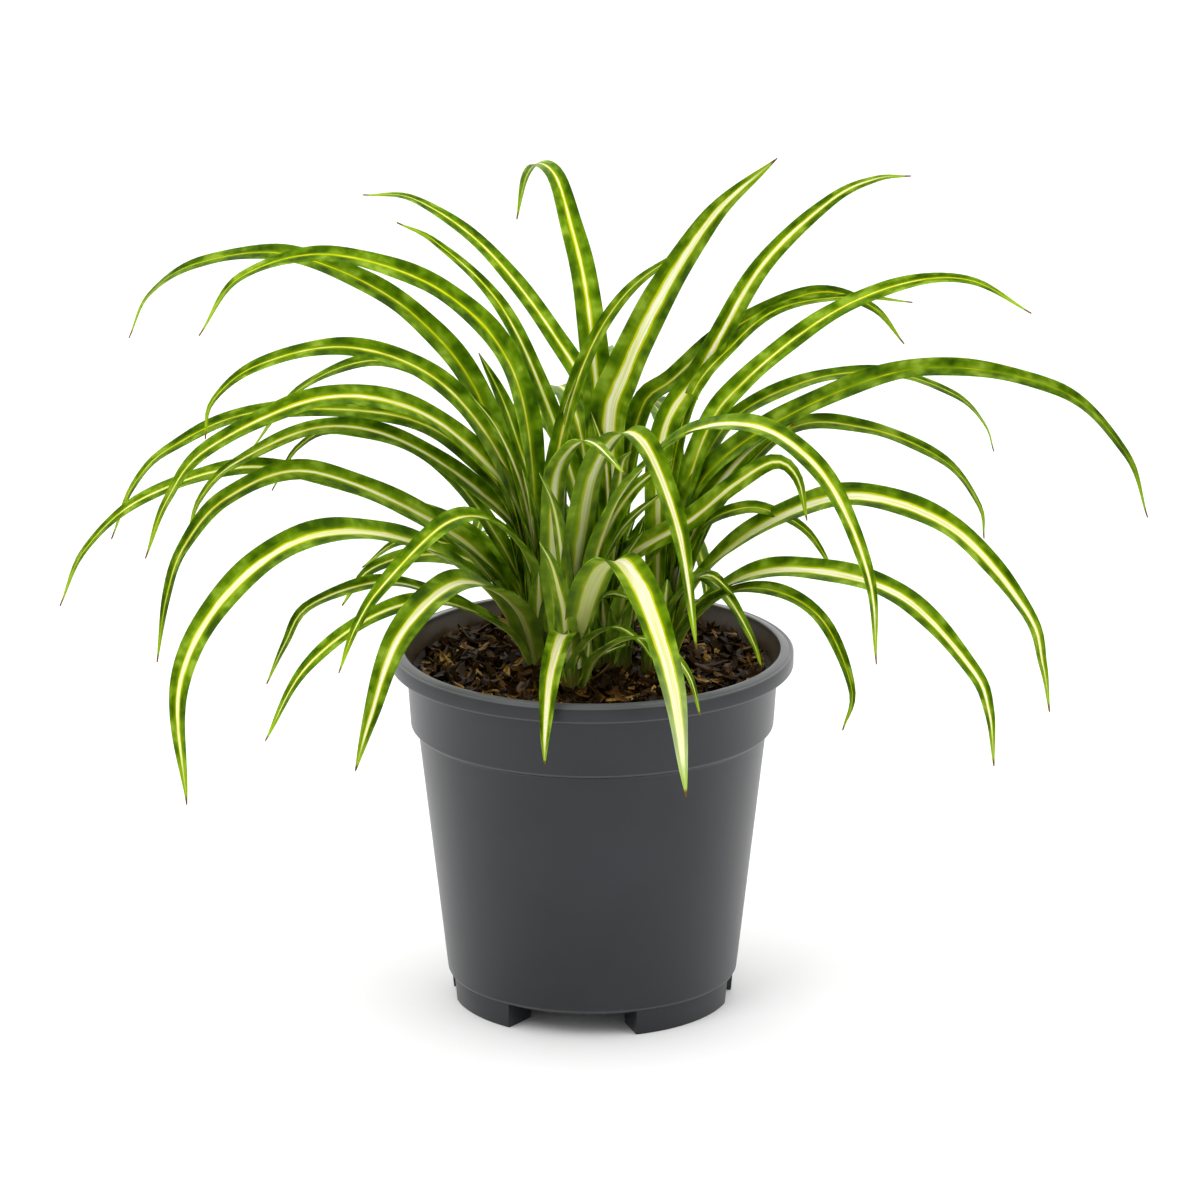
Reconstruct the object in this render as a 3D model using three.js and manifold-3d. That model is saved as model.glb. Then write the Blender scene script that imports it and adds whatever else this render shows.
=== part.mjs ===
// A potted spider plant: five leaf rosettes of one clump, growing in bark mix in a moulded nursery pot.
// Millimetres, +Z up, the front of the plant towards -Y. The pot's feet stand on z = 0, and the
// origin lies under the middle of the whole plant, leaves included.
import * as THREE from "three";
import { mergeVertices } from "three/addons/utils/BufferGeometryUtils.js";
import Module from "manifold-3d";

const wasm = await Module();
wasm.setup();

const degree = Math.PI / 180;

// The pot, a 15 cm moulded nursery pot with a collar under its rim and four feet.
const pot = {
  height: 136.5,
  wall: 1.6,
  floor: 2.2,
  rimRadius: 75.5,
  rimInnerRadius: 70.5,
  rimHeight: 6.5,
  rimRound: 1.2,
  collarTopRadius: 69.7,
  collarFootRadius: 68.2,
  collarFootHeight: 106.5,
  bodyTopRadius: 65.4,
  bodyFootRadius: 54.8,
  bodyEdge: 1.4,
  sides: 48,
};

// The feet are one ring under the pot, cut by four notches.
const feet = {
  height: 9.5,
  outerRadius: 52.8,
  topRadius: 53.6,
  innerRadius: 39,
  // the middle and the span of each notch: wide at front and back, narrow at the sides
  notches: [[-98.5, 54], [-10, 16.5], [84, 54], [186.5, 15]],
};

// Narrow slots in the pot's floor let the water out.
const drain = { count: 6, radius: 26, width: 3.4, length: 13 };

// Potting mix: coarse bark, filled to below the rim.
const mix = {
  gap: 0.3,
  belowRim: 7,
  relief: 1.3,
  rings: 5,
  chips: 30,
  chipLength: [7, 13],
  chipWidth: [4, 7],
  chipThickness: [2, 3.2],
  chipSpread: 58,
  chipClearance: 16,
};

// Each rosette rises from a short crown, which stands in a plain hole in the mix.
const crown = { radius: 8, neckRadius: 6.5, neckHeight: 24, depth: 14, spread: 3.5, sides: 16 };

// A leaf is a thin arching strap, narrower at its root and drawn out to a point.
const blade = {
  thickness: 0.7,
  rootDepth: 6,
  rootWidth: 0.55,
  fullWidthAt: 0.24,
  tipWidth: 0.9,
  taperPower: 2.8,
  taperBlunt: 0.85,
  segmentLength: 29,
};

// The rosettes. "at" is the crown's place from the pot's axis. Each leaf grows towards an azimuth
// (0 is right, 90 back, 180 left, 270 front), along a path of [reach, height] points over the mix,
// measured from its crown. "lean" turns its face towards the front, "twist" turns it further on the
// way to the tip, and "from" moves the whole leaf within its crown.
const rosettes = {
  rosette_left: {
    at: [-18, 5],
    leaves: [
      {
        to: 160, width: 12, lean: 35,
        path: [[20, 87], [51, 129], [99, 148], [138, 142], [159, 128], [168, 110]],
      },
      {
        to: 172, width: 13, lean: 35,
        path: [[2, 48], [10, 109], [37, 141], [80, 154], [114, 144], [130, 121]],
      },
      {
        to: 207, width: 15.5, lean: 14, twist: 45,
        path: [[22, 30], [57, 55], [97, 61], [130, 43], [149, 11], [147, -35]],
      },
      {
        to: 225, width: 11, lean: 20,
        path: [[6, 36], [25, 59], [50, 64], [82, 47], [96, 34], [105, 18]],
      },
      {
        to: 235, width: 16, lean: 15,
        path: [[14, 21], [34, 37], [60, 44], [91.5, 31.5], [108.5, 6], [118, -12]],
      },
      { to: 215, width: 10, lean: 20, path: [[17, 15], [46, 31], [75, 31], [106, 16], [124, -9]] },
      {
        to: 205, width: 9.5, lean: 20,
        path: [[11, 10], [39, 29], [66, 39], [95, 33.5], [105, 20], [112.5, 5.5]],
      },
      { to: 172, width: 11, lean: 40, path: [[8, 23], [28, 38], [49, 39], [67, 32], [77, 18]] },
      { to: 163, width: 8.5, lean: 40, path: [[10, 27], [34, 41], [56, 42], [72, 30]] },
      {
        to: 190, width: 12, lean: 35,
        path: [[15, 31], [41, 56], [88, 78], [118.5, 69.5], [135, 51.5], [142, 32], [146, 7]],
      },
      {
        to: 183, width: 10, lean: 35,
        path: [[20, 33], [55, 62], [106, 77], [148, 66], [171, 46], [181, 24]],
      },
      {
        to: 196, width: 13, lean: 35,
        path: [[7, 53], [26, 83], [53, 103], [87, 108], [128, 92], [143.5, 73.5], [152, 52]],
      },
      {
        to: 176, width: 10.5, lean: 40,
        path: [[8, 48], [24, 76], [54, 94], [107, 94.5], [140, 80], [154.5, 64.5], [163, 44]],
      },
      {
        to: 186, width: 11, lean: 35,
        path: [[6, 43], [25, 67.5], [55, 88], [84, 93], [115, 80], [128, 67], [133, 53]],
      },
      {
        to: 180, width: 12, lean: 40,
        path: [[6, 43], [16, 79], [40, 109.5], [73, 121.5], [106, 114.5], [123, 100.5], [126, 86]],
      },
      {
        to: 165, width: 9.5, lean: 35,
        path: [[8, 49], [30, 97], [62, 112], [94, 99.5], [115, 73]],
      },
      {
        to: 170, width: 8.5, lean: 35,
        path: [[10, 33], [40, 75], [76, 86], [93.5, 78.5], [104, 61]],
      },
      { to: 150, width: 11, lean: 20, path: [[12, 26], [36, 47], [62, 54.5]] },
      {
        to: 8, width: 9.5, lean: 45, from: [2, 0],
        path: [[0, 48], [4, 85], [15, 119], [31, 143], [58, 161]],
      },
      { to: -8, width: 8, lean: 60, from: [-1, 3], path: [[4, 33], [6, 69], [8, 93], [13, 109]] },
      { to: 200, width: 11, lean: 50, path: [[3, 33], [8, 66], [18, 91], [29, 106]] },
      { to: 238, width: 9, lean: 10, from: [-3, 1], path: [[0, 24], [1, 45], [4, 62], [9, 76]] },
    ],
  },
  rosette_front: {
    at: [-7, -20],
    leaves: [
      {
        to: -66, width: 17, lean: 0,
        path: [[4, 16], [20, 45], [38, 57], [55, 55], [73, 42], [90, 20], [100.6, -15]],
      },
      {
        to: -50, width: 15, lean: 0, from: [-2, 1],
        path: [[0, 19], [6, 51], [14, 82], [29, 101], [45, 99], [63, 71], [73, 29]],
      },
      {
        to: -70, width: 10.5, lean: 0, from: [-3, 1],
        path: [[-9, 22], [-14, 49], [-10, 76], [8, 92], [30, 99], [64, 96]],
      },
      {
        to: -40, width: 13, lean: 20, from: [2.2, 0],
        path: [[4, 34], [13, 64], [28, 86], [56, 107], [88, 112], [116, 98], [135, 66], [139, 34]],
      },
      {
        to: -98, width: 11, lean: 0, from: [-1, 0],
        path: [[7, 16], [20, 24], [40, 22], [56, 14], [65, -1], [66, -11.5]],
      },
      {
        to: -60, width: 7, lean: 0, from: [1, 0],
        path: [[14, 12], [40, 27], [64, 30], [82, 24], [90, 11]],
      },
      { to: -45, width: 7, lean: 0, from: [-1, -2], path: [[6, 14], [22, 26], [35, 24], [43, 18]] },
      { to: -25, width: 6, lean: 30, from: [-2, -3], path: [[6, 4], [13, 12], [24, 18]] },
      { to: -130, width: 9.5, lean: 0, path: [[3, 24], [6, 50], [11, 70], [19, 84]] },
      { to: -14, width: 11, lean: 65, path: [[4, 24], [10, 52], [22, 74], [38, 88]] },
      { to: -30, width: 13, lean: 30, from: [2, 3], path: [[0, 30], [5, 52], [17, 71], [27, 84]] },
      { to: -15, width: 9, lean: 35, from: [3, 2], path: [[1, 26], [8, 45], [17, 61], [33, 76]] },
      { to: -40, width: 8, lean: 20, from: [2, 1], path: [[4, 18], [7, 29], [15, 36], [27, 36]] },
      { to: -110, width: 10, lean: 10, path: [[8, 25], [14, 38], [23, 52], [35, 63]] },
    ],
  },
  rosette_centre: {
    at: [8, 0],
    leaves: [
      {
        to: -20, width: 19, lean: 75,
        path: [[-1, 43], [-2, 93], [4, 113], [18, 143], [39, 176], [63, 199]],
      },
      {
        to: 115, width: 13.5, lean: 10, from: [-1.2, 0],
        path: [
          [4, 53], [12, 105], [22, 141], [35, 162],
          [48, 177], [64, 179], [76, 171], [84, 153],
        ],
      },
      {
        to: 25, width: 11, lean: 10, twist: 75, from: [1, -1],
        path: [[1, 53], [9.5, 97], [23.5, 108.5], [48, 125], [82, 135], [106, 127], [120, 111]],
      },
      {
        to: -25, width: 12, lean: 40, twist: 50, from: [-4, -2],
        path: [
          [0, 33], [15, 47.5], [35.5, 61], [53.5, 77],
          [69.5, 87.5], [78.5, 82.5], [82.5, 66.5],
        ],
      },
      { to: -75, width: 11, lean: 0, path: [[1, 28], [4, 59], [12, 81], [24, 89]] },
      { to: 160, width: 11, lean: 60, path: [[1, 33], [2, 63], [4, 83], [9, 97]] },
      { to: -10, width: 8, lean: 70, path: [[0, 25], [1, 47], [4, 63], [8, 71]] },
      { to: -35, width: 12, lean: 30, path: [[2, 14], [8, 27], [16, 42], [26, 54]] },
      { to: -60, width: 11, lean: 20, path: [[-2, 8], [0, 25], [8, 43], [21, 57]] },
    ],
  },
  rosette_right: {
    at: [25, -4],
    leaves: [
      {
        to: 12, width: 10.5, lean: 40,
        path: [[4, 41], [16.5, 88], [32, 109], [63, 132], [92, 143], [118, 143], [142, 129]],
      },
      {
        to: -3, width: 11, lean: 40,
        path: [[4, 35], [14, 71], [45, 97], [95, 117], [146, 110], [172, 86], [181, 61]],
      },
      {
        to: 20, width: 9.5, lean: 18, twist: 20,
        path: [[8, 48], [24, 89], [56, 105], [90, 106], [118, 95], [131, 82], [135, 71]],
      },
      {
        to: 5, width: 10.5, lean: 18, twist: 25,
        path: [[16, 51], [46, 90], [77, 91], [106, 78], [120, 60], [122, 47]],
      },
      {
        to: -20, width: 14.5, lean: 30,
        path: [[12, 31], [38, 57.5], [75, 74], [113.5, 65.5], [142.5, 36.5], [149, 17], [152, -1]],
      },
      {
        to: -32, width: 13.5, lean: 25,
        path: [[12, 20], [36, 41], [68, 48.5], [104, 44], [133, 21.5], [140.5, 6.5], [143, -14]],
      },
      {
        to: -38, width: 8.5, lean: 20,
        path: [[14, 19], [35, 36.5], [58, 39.5], [77, 31], [89, 8], [85, -8]],
      },
      {
        to: -15, width: 8, lean: 35,
        path: [[8, 38], [17.5, 57], [32.5, 64.5], [44, 63.5], [55.5, 58], [63, 48.5], [67, 40]],
      },
      { to: -28, width: 8.5, lean: 20, path: [[5, 19], [15, 38], [27, 33], [38, 18], [43, 6]] },
      {
        to: -8, width: 15.5, lean: 40,
        path: [[6, 36], [13, 56], [21.5, 71], [31, 83], [40.5, 91], [50, 96]],
      },
      {
        to: 35, width: 11, lean: 45,
        path: [[-1, 48], [2, 91], [20, 113.5], [46, 147.5], [78, 168.5], [99, 174], [116, 173]],
      },
      {
        to: 26, width: 7, lean: 35,
        path: [[2, 53], [12, 101], [30, 121], [50, 133], [80, 134], [106, 129]],
      },
      { to: -48, width: 11, lean: 20, path: [[4, 17], [12, 32], [27, 42], [41, 37]] },
      { to: 75, width: 11, lean: 0, path: [[4, 33], [14, 71], [34, 91], [58, 89]] },
    ],
  },
  rosette_back: {
    at: [4, 17],
    leaves: [
      {
        to: 150, width: 9.5, lean: 30, from: [1, 0],
        path: [[8, 44], [23, 88], [45, 128], [73, 149], [91, 155]],
      },
      {
        to: 135, width: 9.5, lean: 30, from: [-1, 0],
        path: [[0, 43], [2, 91], [26, 120], [62, 146], [100, 158], [129, 155]],
      },
      { to: 104, width: 13, lean: 0, path: [[12, 38], [36, 77], [68, 86], [104, 65], [124, 23]] },
      { to: 78, width: 13, lean: 0, path: [[14, 33], [42, 68], [82, 77], [118, 55], [138, 13]] },
      { to: 150, width: 14, lean: 30, path: [[14, 34], [31, 63], [43, 91], [54, 109]] },
      { to: 122, width: 12, lean: 0, path: [[8, 36], [24, 70], [50, 84], [74, 72], [86, 44]] },
      { to: 90, width: 12, lean: 0, path: [[8, 43], [24, 81], [56, 99], [96, 91], [126, 57]] },
      { to: 72, width: 12, lean: 0, path: [[10, 40], [28, 74], [56, 84], [86, 68], [104, 34]] },
      { to: 116, width: 11, lean: 0, path: [[12, 21], [36, 43], [70, 48], [104, 31], [124, -7]] },
      { to: 88, width: 11, lean: 0, path: [[12, 17], [34, 34], [62, 35], [90, 15], [102, -19]] },
      { to: 140, width: 9.5, lean: 0, path: [[12, 17], [34, 35], [60, 35], [72, 29]] },
      { to: 66, width: 11, lean: 0, path: [[12, 17], [36, 35], [66, 35], [94, 13], [104, -21]] },
      { to: 48, width: 9.5, lean: 0, path: [[10, 23], [26, 45], [48, 51], [66, 43]] },
    ],
  },
};

// Colours and finishes as the eye sees them.
const finish = {
  pot: { color: 0x4b4d50, roughness: 0.55 },
  mix: { color: 0x2c1e14, roughness: 0.95 },
  leaf: { color: 0x6b9436, roughness: 0.45 },
};

const mixTop = pot.height - mix.belowRim;

// A closed three.js geometry as a solid that can be joined and cut.
function solidOf(geometry) {
  const bare = geometry.clone();
  bare.deleteAttribute("normal");
  bare.deleteAttribute("uv");
  const merged = mergeVertices(bare, 1e-4);
  return new wasm.Manifold(
    new wasm.Mesh({
      numProp: 3,
      vertProperties: merged.attributes.position.array,
      triVerts: new Uint32Array(merged.index.array),
    }),
  );
}

function geometryOf(solid) {
  const mesh = solid.getMesh();
  const geometry = new THREE.BufferGeometry();
  geometry.setAttribute("position", new THREE.BufferAttribute(mesh.vertProperties, 3));
  geometry.setIndex(new THREE.BufferAttribute(mesh.triVerts, 1));
  geometry.computeVertexNormals();
  return geometry;
}

// A profile of [radius, height] points turned about the Z axis.
function turned(profile, sides) {
  const points = profile.map(([radius, height]) => new THREE.Vector2(radius, height));
  return new THREE.LatheGeometry(points, sides).rotateX(90 * degree);
}

// The wall's inner radius at a height, which the mix follows.
function innerRadius(height) {
  const foot = pot.bodyFootRadius - pot.wall;
  const bodyTop = pot.bodyTopRadius - pot.wall;
  const collarFoot = pot.collarFootRadius - pot.wall;
  const collarTop = pot.collarTopRadius - pot.wall;
  const floorTop = feet.height + pot.floor;
  const step = pot.collarFootHeight;
  if (height < step) return THREE.MathUtils.mapLinear(height, floorTop, step, foot, bodyTop);
  return THREE.MathUtils.mapLinear(height, step, pot.height - pot.rimHeight, collarFoot, collarTop);
}

// A sector of a ring, from one radius to another, standing on a height.
function sector(inner, outer, from, span, bottom, tall) {
  const outline = new THREE.Shape();
  outline.absarc(0, 0, outer, from, from + span, false);
  outline.absarc(0, 0, inner, from + span, from, true);
  outline.closePath();
  const settings = { depth: tall, bevelEnabled: false, curveSegments: 12 };
  return new THREE.ExtrudeGeometry(outline, settings).translate(0, 0, bottom);
}

function potSolid() {
  const rimFoot = pot.height - pot.rimHeight;
  const floorTop = feet.height + pot.floor;
  const round = pot.rimRound;
  const edge = pot.bodyEdge;
  const stepUp = pot.collarFootHeight;
  const shell = turned(
    [
      [0, feet.height],
      [feet.innerRadius, feet.height],
      [feet.innerRadius, 0],
      [feet.outerRadius, 0],
      [feet.topRadius, feet.height],
      [pot.bodyFootRadius, feet.height + edge],
      [pot.bodyTopRadius, stepUp - edge],
      [pot.collarFootRadius - edge / 2, stepUp],
      [pot.collarFootRadius, stepUp + edge],
      [pot.collarTopRadius, rimFoot],
      [pot.rimRadius - round / 2, rimFoot],
      [pot.rimRadius, rimFoot + round],
      [pot.rimRadius, pot.height - round],
      [pot.rimRadius - round, pot.height],
      [pot.rimInnerRadius + round, pot.height],
      [pot.rimInnerRadius, pot.height - round],
      [innerRadius(rimFoot), rimFoot],
      [innerRadius(stepUp), stepUp + edge],
      [innerRadius(stepUp - edge), stepUp - edge],
      [innerRadius(floorTop), floorTop],
      [0, floorTop],
    ],
    pot.sides,
  );
  let body = solidOf(shell);
  for (const [middle, span] of feet.notches) {
    const from = (middle - span / 2) * degree;
    const inner = feet.innerRadius - 2;
    const outer = pot.bodyFootRadius + 2;
    const notch = sector(inner, outer, from, span * degree, -1, feet.height + 1);
    body = body.subtract(solidOf(notch));
  }
  for (let i = 0; i < drain.count; i++) {
    const slot = new THREE.BoxGeometry(drain.length, drain.width, 4 * pot.floor)
      .translate(drain.radius, 0, floorTop)
      .rotateZ((i * 2 * Math.PI) / drain.count);
    body = body.subtract(solidOf(slot));
  }
  return body;
}

// A repeatable draw of numbers between 0 and 1.
function seeded(seed) {
  let state = seed;
  return () => {
    state = (state * 1664525 + 1013904223) % 4294967296;
    return state / 4294967296;
  };
}

// Low swells of the mix's surface, which die out at the wall.
function swell(x, y) {
  const fall = Math.max(0, 1 - Math.hypot(x, y) / innerRadius(mixTop));
  return mix.relief * Math.min(1, 3 * fall) * Math.sin(x / 7.5 + 1) * Math.cos(y / 6.5);
}

function mixSolid() {
  const floorTop = feet.height + pot.floor + mix.gap;
  const stepUp = pot.collarFootHeight;
  const profile = [
    [0, floorTop],
    [innerRadius(floorTop) - 2 * mix.gap, floorTop],
    [innerRadius(stepUp - pot.bodyEdge) - mix.gap, stepUp - pot.bodyEdge],
    [innerRadius(stepUp) - mix.gap, stepUp + pot.bodyEdge + 2 * mix.gap],
  ];
  const topRadius = innerRadius(mixTop) - mix.gap;
  for (let i = mix.rings; i >= 0; i--) profile.push([(topRadius * i) / mix.rings, mixTop]);
  const heap = turned(profile, pot.sides);
  const place = heap.attributes.position;
  for (let i = 0; i < place.count; i++) {
    if (place.getZ(i) > mixTop - 0.01) place.setZ(i, mixTop + swell(place.getX(i), place.getY(i)));
  }
  let body = solidOf(heap);
  const draw = seeded(11);
  const between = ([low, high]) => low + (high - low) * draw();
  const crowns = Object.values(rosettes).map((rosette) => rosette.at);
  for (let made = 0; made < mix.chips; ) {
    const reach = mix.chipSpread * Math.sqrt(draw());
    const around = 2 * Math.PI * draw();
    const x = reach * Math.cos(around);
    const y = reach * Math.sin(around);
    if (crowns.some(([cx, cy]) => Math.hypot(x - cx, y - cy) < mix.chipClearance)) continue;
    const size = [mix.chipLength, mix.chipWidth, mix.chipThickness].map(between);
    const chip = new THREE.BoxGeometry(...size)
      .rotateX((draw() - 0.5) * 50 * degree)
      .rotateY((draw() - 0.5) * 40 * degree)
      .rotateZ(2 * Math.PI * draw())
      .translate(x, y, mixTop + swell(x, y) + 0.4);
    body = body.add(solidOf(chip));
    made++;
  }
  for (const [x, y] of crowns) {
    const radius = crown.radius + mix.gap;
    const depth = crown.depth + mix.gap;
    const hole = new THREE.CylinderGeometry(radius, radius, 2 * depth, crown.sides)
      .rotateX(90 * degree)
      .translate(x, y, mixTop);
    body = body.subtract(solidOf(hole));
  }
  return body;
}

// How wide the blade is, as a share of its full width, from its root (0) to its tip (1).
function widthShare(along) {
  const opening = Math.min(1, along / blade.fullWidthAt);
  const root = blade.rootWidth + (1 - blade.rootWidth) * opening;
  return root * Math.pow(1 - Math.pow(along, blade.taperPower), blade.taperBlunt);
}

function leafSolid(at, leaf) {
  const azimuth = leaf.to * degree;
  const outward = new THREE.Vector3(Math.cos(azimuth), Math.sin(azimuth), 0);
  const across = new THREE.Vector3(-Math.sin(azimuth), Math.cos(azimuth), 0);
  const [shiftX, shiftY] = leaf.from ?? [0, 0];
  const root = new THREE.Vector3(at[0] + shiftX, at[1] + shiftY, mixTop);
  const rootReach = Math.min(crown.spread, Math.max(0, leaf.path[0][0]));
  const path = [[rootReach, -blade.rootDepth], ...leaf.path].map(([reach, height]) =>
    root.clone().addScaledVector(outward, reach).add(new THREE.Vector3(0, 0, height)),
  );
  const spine = new THREE.CatmullRomCurve3(path, false, "catmullrom", 0.5);
  const segments = Math.max(5, Math.round(spine.getLength() / blade.segmentLength) + 2);
  const towardsFront = Math.sign(Math.cos(azimuth));
  const vertices = [];
  for (let i = 0; i <= segments; i++) {
    const along = i / segments;
    const centre = spine.getPointAt(along);
    const forward = spine.getTangentAt(along);
    const up = forward.clone().cross(across).normalize();
    const settled = Math.min(1, along / 0.35);
    const turn = towardsFront * (leaf.lean * settled + (leaf.twist ?? 0) * along * along) * degree;
    const side = across.clone().applyAxisAngle(forward, turn);
    const face = up.applyAxisAngle(forward, turn);
    const half = Math.max(blade.tipWidth, leaf.width * widthShare(along)) / 2;
    for (const depth of [blade.thickness / 2, -blade.thickness / 2]) {
      for (const reach of [-half, half]) {
        const corner = centre.clone().addScaledVector(side, reach).addScaledVector(face, depth);
        vertices.push(corner.x, corner.y, corner.z);
      }
    }
  }
  // The corners of a station are 0 and 1 across the upper face, 2 and 3 across the lower one. Both
  // faces of a strip are split along the same diagonal.
  const faces = [];
  for (let near = 0; near < 4 * segments; near += 4) {
    const far = near + 4;
    for (const [a, b] of [[0, 1], [1, 3], [2, 0]]) {
      faces.push(near + a, far + b, near + b, near + a, far + a, far + b);
    }
    faces.push(near + 3, far + 3, near + 2, near + 2, far + 3, far + 2);
  }
  const end = 4 * segments;
  faces.push(0, 1, 3, 0, 3, 2, end + 1, end, end + 3, end + 3, end, end + 2);
  const geometry = new THREE.BufferGeometry();
  geometry.setAttribute("position", new THREE.Float32BufferAttribute(vertices, 3));
  geometry.setIndex(faces);
  return solidOf(geometry);
}

function crownSolid([x, y]) {
  const profile = [
    [0, -crown.depth],
    [crown.radius, -crown.depth],
    [crown.radius, 1],
    [crown.neckRadius, crown.neckHeight],
    [0, crown.neckHeight + 2],
  ];
  return solidOf(turned(profile, crown.sides).translate(x, y, mixTop));
}

// The leaves of a rosette joined to their crown, with the pockets that close between their roots filled.
function rosetteSolid({ at, leaves }) {
  const clump = leaves.reduce((joined, leaf) => joined.add(leafSolid(at, leaf)), crownSolid(at));
  return clump.decompose().reduce((largest, part) => (part.volume() > largest.volume() ? part : largest));
}

function named(name, solid, look) {
  const material = new THREE.MeshStandardMaterial({ ...look, metalness: 0 });
  const mesh = new THREE.Mesh(geometryOf(solid), material);
  mesh.name = name;
  return mesh;
}

const plant = new THREE.Group();
plant.add(named("pot", potSolid(), finish.pot));
plant.add(named("potting_mix", mixSolid(), finish.mix));
for (const [name, rosette] of Object.entries(rosettes)) {
  plant.add(named(name, rosetteSolid(rosette), finish.leaf));
}

// The origin goes under the middle of the plant's box.
const middle = new THREE.Box3().setFromObject(plant).getCenter(new THREE.Vector3());
plant.position.set(-middle.x, -middle.y, 0);

export default plant;
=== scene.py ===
import math
import random

import bpy
from mathutils import Matrix, Vector, noise


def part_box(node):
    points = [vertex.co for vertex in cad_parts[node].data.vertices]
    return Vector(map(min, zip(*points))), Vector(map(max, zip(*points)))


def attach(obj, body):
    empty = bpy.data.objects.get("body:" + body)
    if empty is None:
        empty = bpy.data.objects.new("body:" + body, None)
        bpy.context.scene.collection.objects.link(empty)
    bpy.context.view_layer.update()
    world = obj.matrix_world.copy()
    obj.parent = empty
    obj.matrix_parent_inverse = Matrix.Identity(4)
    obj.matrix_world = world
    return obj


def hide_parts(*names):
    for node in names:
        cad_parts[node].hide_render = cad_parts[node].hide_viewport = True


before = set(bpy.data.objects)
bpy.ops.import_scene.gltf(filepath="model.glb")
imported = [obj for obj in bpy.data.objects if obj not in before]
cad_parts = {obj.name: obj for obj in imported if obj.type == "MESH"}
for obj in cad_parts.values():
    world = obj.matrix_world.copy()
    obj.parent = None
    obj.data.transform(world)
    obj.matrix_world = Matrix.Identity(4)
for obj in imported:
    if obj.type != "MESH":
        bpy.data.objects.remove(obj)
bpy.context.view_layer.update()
print("stage: frame loaded")

mm = 0.001
potLow, potHigh = (Vector(corner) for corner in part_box("pot"))
axis = Vector(((potLow.x + potHigh.x) / 2, (potLow.y + potHigh.y) / 2, 0))  # the foot of the pot's axis


# An sRGB hex code as linear red, green, blue and alpha.
def linear(code):
    parts = [int(code[i:i + 2], 16) / 255 for i in (1, 3, 5)]
    return tuple(c / 12.92 if c <= 0.04045 else ((c + 0.055) / 1.055) ** 2.4 for c in parts) + (1.0,)


# Adds a node. An input takes a socket, a number or a colour code. Returns the node's first live output.
def addNode(tree, kind, inputs=None, **settings):
    node = tree.nodes.new(kind)
    for key, value in settings.items():
        setattr(node, key, value)
    for key, value in (inputs or {}).items():
        if isinstance(value, bpy.types.NodeSocket):
            tree.links.new(value, node.inputs[key])
        else:
            node.inputs[key].default_value = linear(value) if isinstance(value, str) else value
    return next((socket for socket in node.outputs if socket.enabled), None)


# A colour ramp's stops, from [place, colour code] pairs.
def setStops(ramp, stops):
    elements = ramp.node.color_ramp.elements
    while len(elements) < len(stops):
        elements.new(0.5)
    for element, (place, colour) in zip(elements, stops):
        element.position = place
        element.color = linear(colour)


def newMaterial(name):
    material = bpy.data.materials.new(name)
    material.use_nodes = True
    material.node_tree.nodes.clear()
    return material, material.node_tree


def clearSelection():
    if bpy.context.object and bpy.context.object.mode != "OBJECT":
        bpy.ops.object.mode_set(mode="OBJECT")
    bpy.ops.object.select_all(action="DESELECT")


def makeActive(piece):
    clearSelection()
    piece.select_set(True)
    bpy.context.view_layer.objects.active = piece


def applyModifier(piece, kind, **settings):
    makeActive(piece)
    modifier = piece.modifiers.new(kind.lower(), kind)
    for key, value in settings.items():
        setattr(modifier, key, value)
    bpy.ops.object.modifier_apply(modifier=modifier.name)


def smoothShade(piece, angle):
    makeActive(piece)
    bpy.ops.object.shade_smooth_by_angle(angle=math.radians(angle))


def joinPieces(pieces, name):
    clearSelection()
    for piece in pieces:
        piece.select_set(True)
    bpy.context.view_layer.objects.active = pieces[0]
    bpy.ops.object.join()
    pieces[0].name = name
    pieces[0].data.name = name
    return pieces[0]


def finishPiece(piece, node):
    makeActive(piece)
    bpy.ops.object.transform_apply(location=True, rotation=True, scale=True)
    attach(piece, "root")
    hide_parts(node)


# A [radius, height] profile in millimetres, extruded point by point and spun about an upright line.
def spinProfile(name, profile, steps, centre):
    clearSelection()
    bpy.ops.mesh.primitive_plane_add(size=0.001, location=(0, 0, 0))
    piece = bpy.context.object
    piece.name = name
    bpy.ops.object.mode_set(mode="EDIT")
    bpy.ops.mesh.select_mode(type="VERT")
    bpy.ops.mesh.merge(type="CENTER")
    bpy.ops.mesh.select_all(action="SELECT")
    start = Vector((profile[0][0] * mm, 0, profile[0][1] * mm))
    bpy.ops.transform.translate(value=centre + start)
    for (fromRadius, fromHeight), (toRadius, toHeight) in zip(profile, profile[1:]):
        move = ((toRadius - fromRadius) * mm, 0, (toHeight - fromHeight) * mm)
        bpy.ops.mesh.extrude_region_move(TRANSFORM_OT_translate={"value": move})
    bpy.ops.mesh.select_all(action="SELECT")
    bpy.ops.mesh.spin(steps=steps, angle=2 * math.pi, center=centre, axis=(0, 0, 1))
    bpy.ops.mesh.select_all(action="SELECT")
    bpy.ops.mesh.remove_doubles(threshold=0.00001)
    bpy.ops.mesh.normals_make_consistent(inside=False)
    bpy.ops.object.mode_set(mode="OBJECT")
    return piece


def selectFaces(piece, wanted):
    bpy.ops.object.mode_set(mode="EDIT")
    bpy.ops.mesh.select_mode(type="FACE")
    bpy.ops.mesh.select_all(action="DESELECT")
    bpy.ops.object.mode_set(mode="OBJECT")
    for polygon in piece.data.polygons:
        polygon.select = wanted(polygon)
    bpy.ops.object.mode_set(mode="EDIT")


# A rounded corner of a profile, as points on an arc from one direction to another, in degrees.
def roundCorner(radius, height, size, start, end, steps=3):
    angles = [math.radians(start + (end - start) * i / steps) for i in range(steps + 1)]
    return [(radius + size * math.cos(a), height + size * math.sin(a)) for a in angles]


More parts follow.
